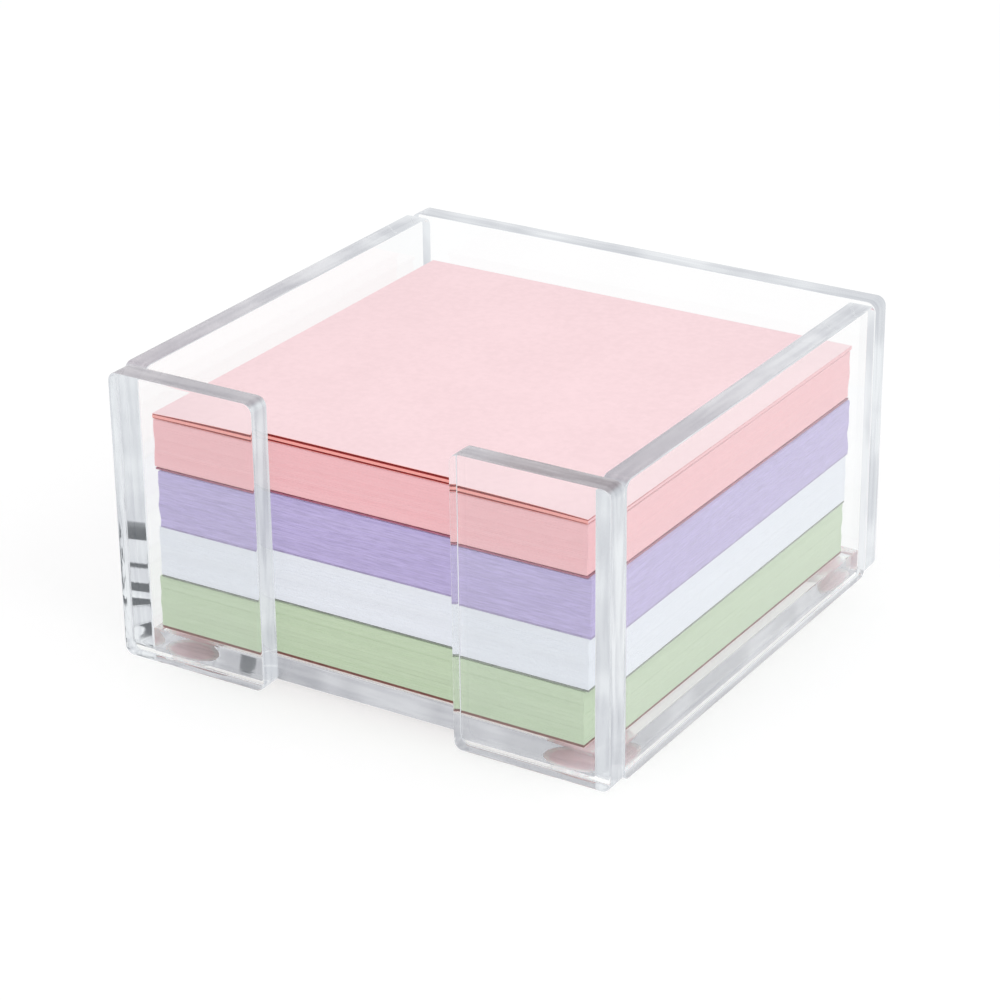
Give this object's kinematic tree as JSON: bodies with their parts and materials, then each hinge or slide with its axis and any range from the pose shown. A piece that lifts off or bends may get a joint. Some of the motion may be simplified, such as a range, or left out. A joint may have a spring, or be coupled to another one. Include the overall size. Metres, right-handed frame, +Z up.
{
  "type": "memo pad holder",
  "caption": "Clear acrylic desk box, open at the top and notched in front, holding a stack of square pastel note pads.",
  "frame": {"origin": "on the table, under the middle of the acrylic box", "axes": "+Z up, -Y towards the front with its open notch, +X to the right of someone who faces that notch"},
  "size_m": [0.087, 0.087, 0.0483],
  "materials": {
    "clear_acrylic": "clear cast acrylic, polished faces and edges",
    "foot_rubber": "soft translucent bumper, pinkish brown",
    "pink_paper": "matte, uncoated",
    "lilac_paper": "matte, uncoated",
    "white_paper": "matte, uncoated",
    "green_paper": "matte, uncoated",
    "liner_paper": "smooth backing sheet",
    "brown_card": "matte board"
  },
  "bodies": {
    "holder": {"base_plate": "clear_acrylic", "back_panel": "clear_acrylic", "left_panel": "clear_acrylic", "right_panel": "clear_acrylic", "front_left_tab": "clear_acrylic", "front_right_tab": "clear_acrylic", "foot_front_left": "foot_rubber", "foot_front_right": "foot_rubber", "foot_back_left": "foot_rubber", "foot_back_right": "foot_rubber"},
    "green_block": {"green_backing": "brown_card", "green_pad": "green_paper"},
    "white_block": {"white_backing": "liner_paper", "white_pad": "white_paper"},
    "lilac_block": {"lilac_backing": "liner_paper", "lilac_pad": "lilac_paper"},
    "pink_block": {"pink_backing": "liner_paper", "pink_pad": "pink_paper"},
    "top_leaves": {"pink_top_leaves": "pink_paper"}
  },
  "joints": [
    {"name": "green_lift", "type": "slide", "parent": "holder", "child": "green_block", "axis": [0, 0, 1], "range_m": [0, 0.05]},
    {"name": "white_lift", "type": "slide", "parent": "green_block", "child": "white_block", "axis": [0, 0, 1], "range_m": [0, 0.04]},
    {"name": "lilac_lift", "type": "slide", "parent": "white_block", "child": "lilac_block", "axis": [0, 0, 1], "range_m": [0, 0.03]},
    {"name": "pink_lift", "type": "slide", "parent": "lilac_block", "child": "pink_block", "axis": [0, 0, 1], "range_m": [0, 0.02]},
    {"name": "leaves_peel", "type": "hinge", "parent": "pink_block", "child": "top_leaves", "pos_m": [0, 0.037, 0.0412], "axis": [-1, 0, 0], "range_deg": [0, 90]}
  ]
}
